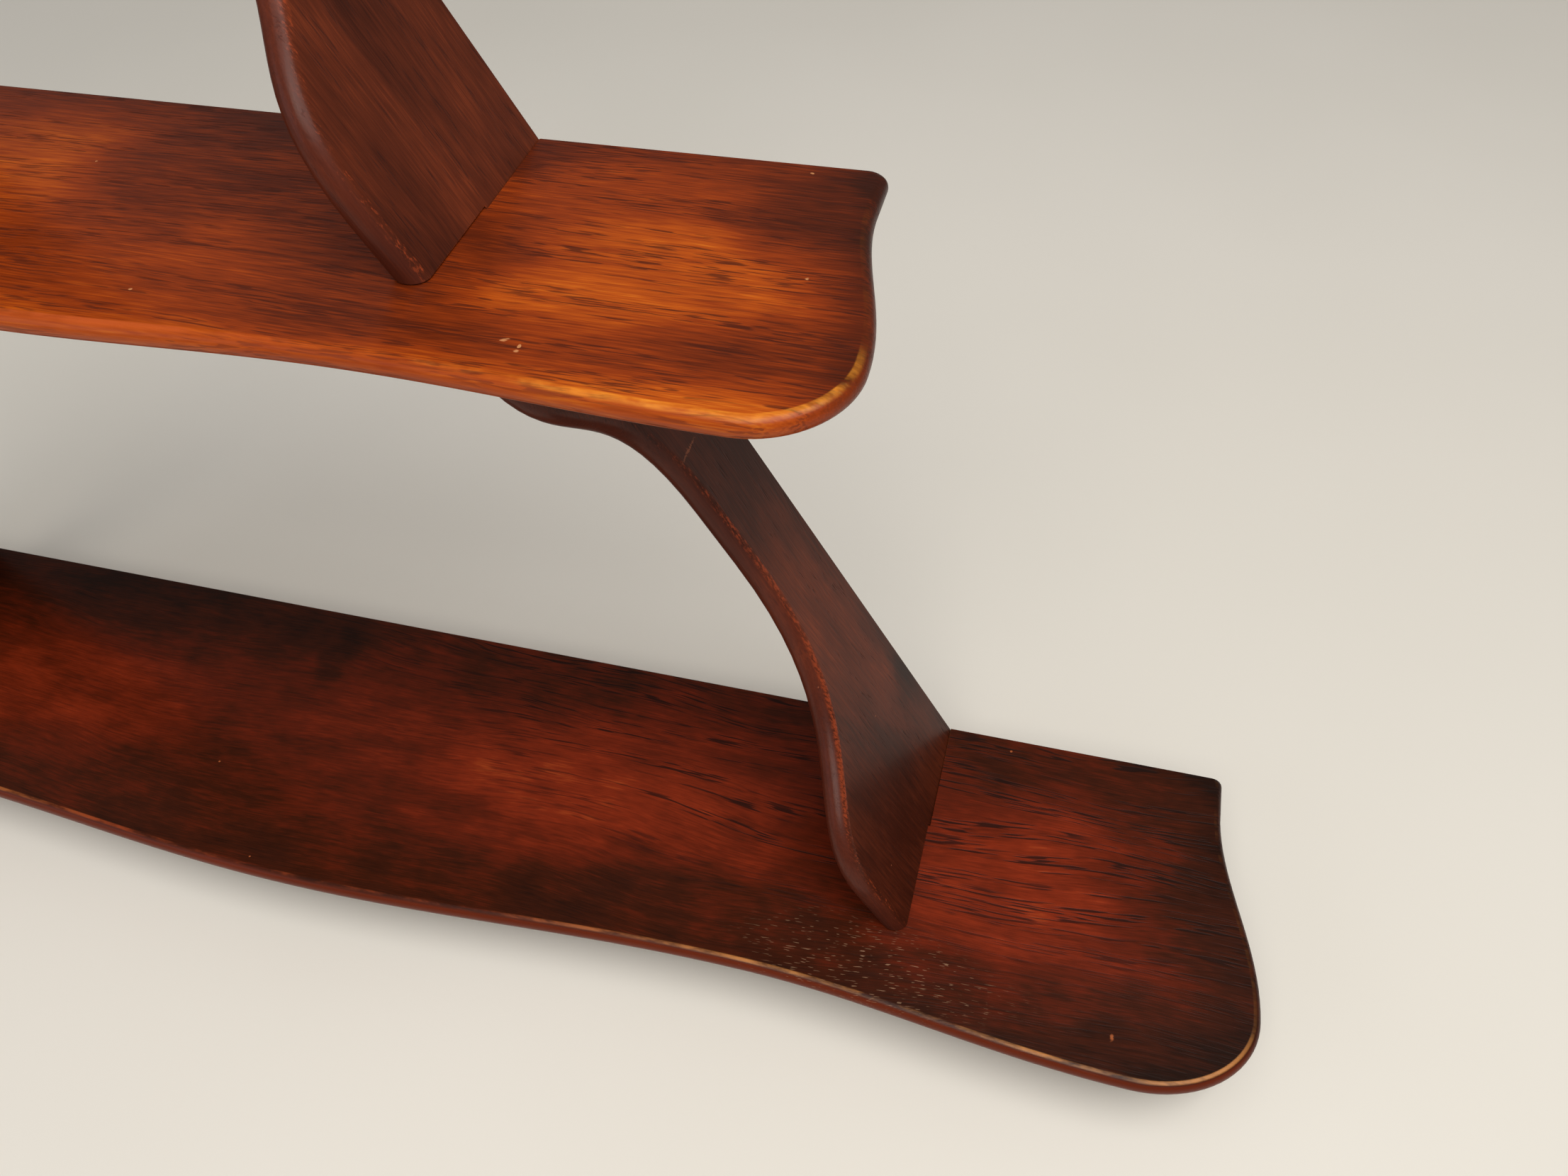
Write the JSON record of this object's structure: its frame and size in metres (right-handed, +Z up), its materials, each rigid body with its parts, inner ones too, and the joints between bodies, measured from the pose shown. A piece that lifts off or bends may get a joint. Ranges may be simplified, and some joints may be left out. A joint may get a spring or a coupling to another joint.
{
  "type": "tiered wall shelf",
  "caption": "Triangular wall shelf with wavy-fronted wooden boards slotted onto leaning shaped uprights that cross at the top, hung by a small brass plate.",
  "frame": {"origin": "middle of the shelf's box on the plane that both feet stand on", "axes": "+X along the boards to the right, +Y towards the wall, +Z up"},
  "size_m": [0.666, 0.116, 0.4776],
  "materials": {
    "lower_board_wood": "dark red-brown stain under satin lacquer",
    "upper_board_wood": "warm orange-brown stain under satin lacquer",
    "upright_wood": "dark brown stain under satin lacquer",
    "plate_brass": "dulled brass",
    "screw_brass": "dulled brass"
  },
  "bodies": {
    "stand": {"right_upright": "upright_wood", "left_upright": "upright_wood", "hanger_plate": "plate_brass", "hanger_screw_1": "screw_brass", "hanger_screw_2": "screw_brass", "hanger_screw_3": "screw_brass", "hanger_screw_4": "screw_brass"},
    "lower_board": {"lower_shelf": "lower_board_wood"},
    "upper_board": {"upper_shelf": "upper_board_wood"}
  },
  "joints": [
    {"name": "lower_board_slide", "type": "slide", "parent": "stand", "child": "lower_board", "axis": [0, -1, 0], "range_m": [0, 0.042]},
    {"name": "upper_board_slide", "type": "slide", "parent": "stand", "child": "upper_board", "axis": [0, -1, 0], "range_m": [0, 0.033]}
  ]
}
